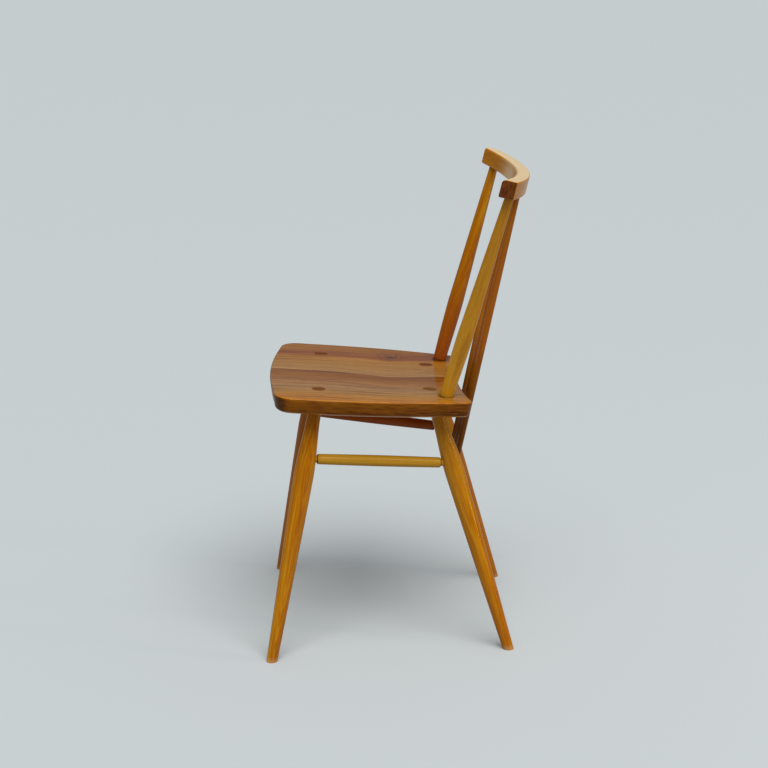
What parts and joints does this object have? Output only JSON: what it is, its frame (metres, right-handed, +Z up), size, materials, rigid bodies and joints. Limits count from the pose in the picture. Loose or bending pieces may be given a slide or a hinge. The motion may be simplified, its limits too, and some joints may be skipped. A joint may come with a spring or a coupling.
{
  "type": "stick-back dining chair",
  "caption": "Varnished wooden stick-back dining chair: shaped flat seat on splayed turned legs with stretchers, slender back sticks and a curved top rail.",
  "frame": {"origin": "on the floor, in the middle of the chair's footprint", "axes": "+Z up, -Y towards the front of the seat, +X to the right seen from the front"},
  "size_m": [0.4392, 0.4326, 0.7858],
  "materials": {
    "elm_seat": "brown elm with a strong straight grain under glossy varnish",
    "beech_frame": "honey-coloured turned beech under glossy varnish, darkened in places",
    "beech_wedge": "dark end grain of the wedges, varnished over"
  },
  "bodies": {
    "root": {"seat": "elm_seat", "top_rail": "beech_frame", "front_leg_left": "beech_frame", "front_leg_right": "beech_frame", "rear_leg_left": "beech_frame", "rear_leg_right": "beech_frame", "front_wedge_left": "beech_wedge", "front_wedge_right": "beech_wedge", "rear_wedge_left": "beech_wedge", "rear_wedge_right": "beech_wedge", "side_stretcher_left": "beech_frame", "side_stretcher_right": "beech_frame", "rear_stretcher": "beech_frame", "outer_stick_left": "beech_frame", "outer_stick_right": "beech_frame", "inner_stick_1": "beech_frame", "inner_stick_2": "beech_frame", "inner_stick_3": "beech_frame"}
  },
  "joints": []
}
